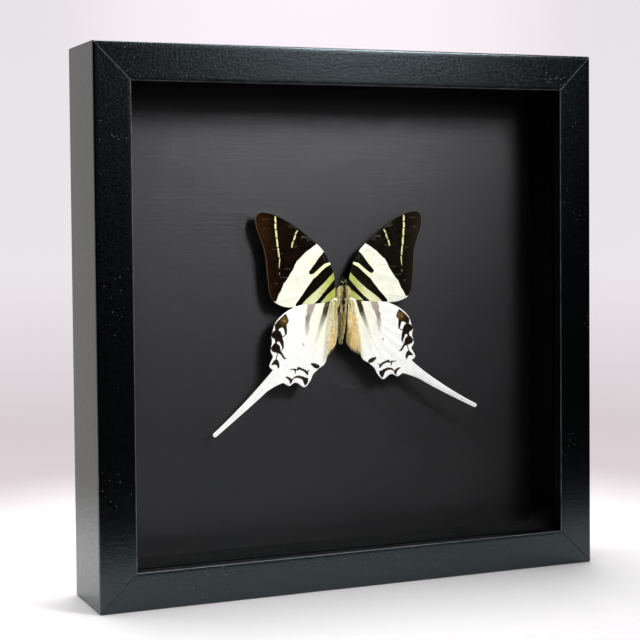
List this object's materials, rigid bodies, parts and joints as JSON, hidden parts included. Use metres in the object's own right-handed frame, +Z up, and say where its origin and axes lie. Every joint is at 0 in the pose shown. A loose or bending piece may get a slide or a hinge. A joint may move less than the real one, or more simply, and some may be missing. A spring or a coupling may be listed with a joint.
{
  "type": "framed butterfly specimen",
  "caption": "Large swallowtail butterfly with long tails, pinned over a dark board inside a deep, square, glazed black box frame.",
  "frame": {"origin": "middle of the frame's underside, halfway through its depth", "axes": "+Z up, front of the frame faces -Y, +X to the viewer's right when seen from the front"},
  "size_m": [0.25, 0.042, 0.25],
  "materials": {
    "moulding": "black satin skin on wood, fine orange-peel grain",
    "glass": "clear, polished",
    "liner": "matte black",
    "board": "dark grey fibrous paper, low sheen",
    "hardboard": "pressed brown hardboard",
    "steel": "zinc-plated",
    "dark_wing": "scaled wing membrane, dark brown with white and yellow-green bands",
    "pale_wing": "scaled wing membrane, white with brown margin marks",
    "hair": "dark brown with pale hair"
  },
  "bodies": {
    "root": {"rail_top": "moulding", "rail_bottom": "moulding", "rail_left": "moulding", "rail_right": "moulding", "glazing": "glass", "spacer_top": "liner", "spacer_bottom": "liner", "spacer_left": "liner", "spacer_right": "liner", "backing_board": "board", "back_panel": "hardboard", "butterfly_body": "hair", "forewing_left": "dark_wing", "forewing_right": "dark_wing", "hindwing_left": "pale_wing", "hindwing_right": "pale_wing", "insect_pin": "steel", "retaining_tab_top_1": "steel", "retaining_tab_top_2": "steel", "retaining_tab_bottom_1": "steel", "retaining_tab_bottom_2": "steel", "retaining_tab_left_1": "steel", "retaining_tab_left_2": "steel", "retaining_tab_right_1": "steel", "retaining_tab_right_2": "steel", "sawtooth_hanger": "steel", "hanger_screw_left": "steel", "hanger_screw_right": "steel"}
  },
  "joints": []
}
